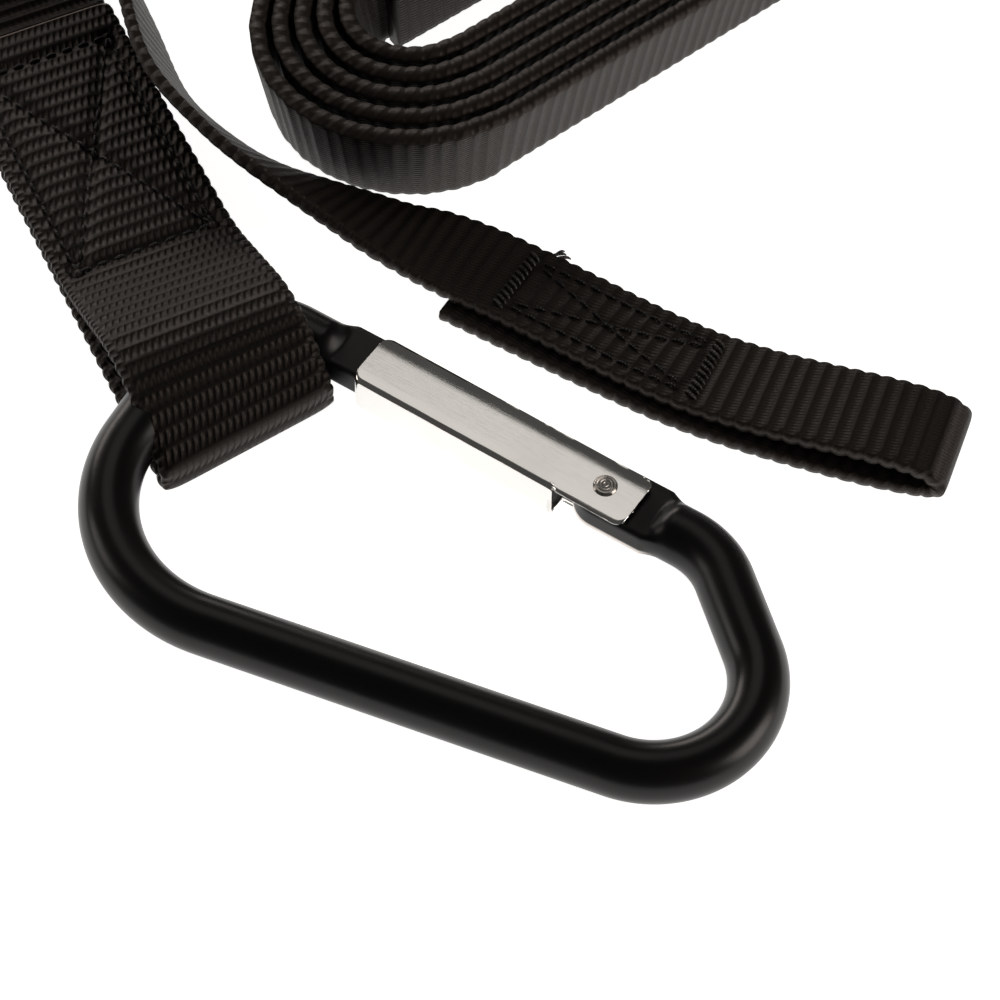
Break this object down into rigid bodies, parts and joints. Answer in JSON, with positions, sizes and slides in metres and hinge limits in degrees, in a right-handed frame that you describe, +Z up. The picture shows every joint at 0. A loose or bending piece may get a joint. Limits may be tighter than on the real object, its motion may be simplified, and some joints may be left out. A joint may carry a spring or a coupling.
{
  "type": "strap set with carabiner",
  "caption": "Webbing hanging sling with a spring-gate D carabiner on its sewn loop, and a narrow tie strap with a sewn eye, the rest wound in a roll.",
  "frame": {"origin": "on the surface the set lies on, under the sling's centreline, where the carabiner's bar crosses it", "axes": "+Z up from the surface; +X along the carabiner's straight spine, from its wide end to its hinge end; +Y from the spine towards the gate"},
  "size_m": [0.2215, 0.1907, 0.0174],
  "materials": {
    "webbing": "satin",
    "thread": "satin",
    "anodised_rod": "glossy",
    "gate_sheet": "polished",
    "rivet_steel": "satin",
    "spring_steel": "polished"
  },
  "bodies": {
    "straps": {"sling_webbing": "webbing", "sling_box_stitch": "thread", "sling_cross_stitch": "thread", "upper_box_stitch": "thread", "tie_strap_run": "webbing", "tie_strap_twist": "webbing", "tie_strap_end": "webbing", "tie_strap_roll": "webbing", "end_bar_tacks": "thread", "end_side_stitches": "thread", "end_cross_stitch": "thread"},
    "carabiner": {"carabiner_body": "anodised_rod", "gate_spring": "spring_steel"},
    "gate": {"gate_sleeve": "gate_sheet", "gate_rivet": "rivet_steel"}
  },
  "joints": [
    {"name": "carabiner_swing", "type": "hinge", "parent": "straps", "child": "carabiner", "pos_m": [0.002, 0.0061, 0.0061], "axis": [-0.456, -0.89, 0], "range_deg": [0, 10]},
    {"name": "gate_hinge", "type": "hinge", "parent": "carabiner", "child": "gate", "pos_m": [0.0558, -0.00112, 0.00459], "axis": [0.0262, 0, 0.9997], "range_deg": [0, 25], "stiffness_Nm_per_rad": 0.02, "springref_deg": -28.65}
  ]
}
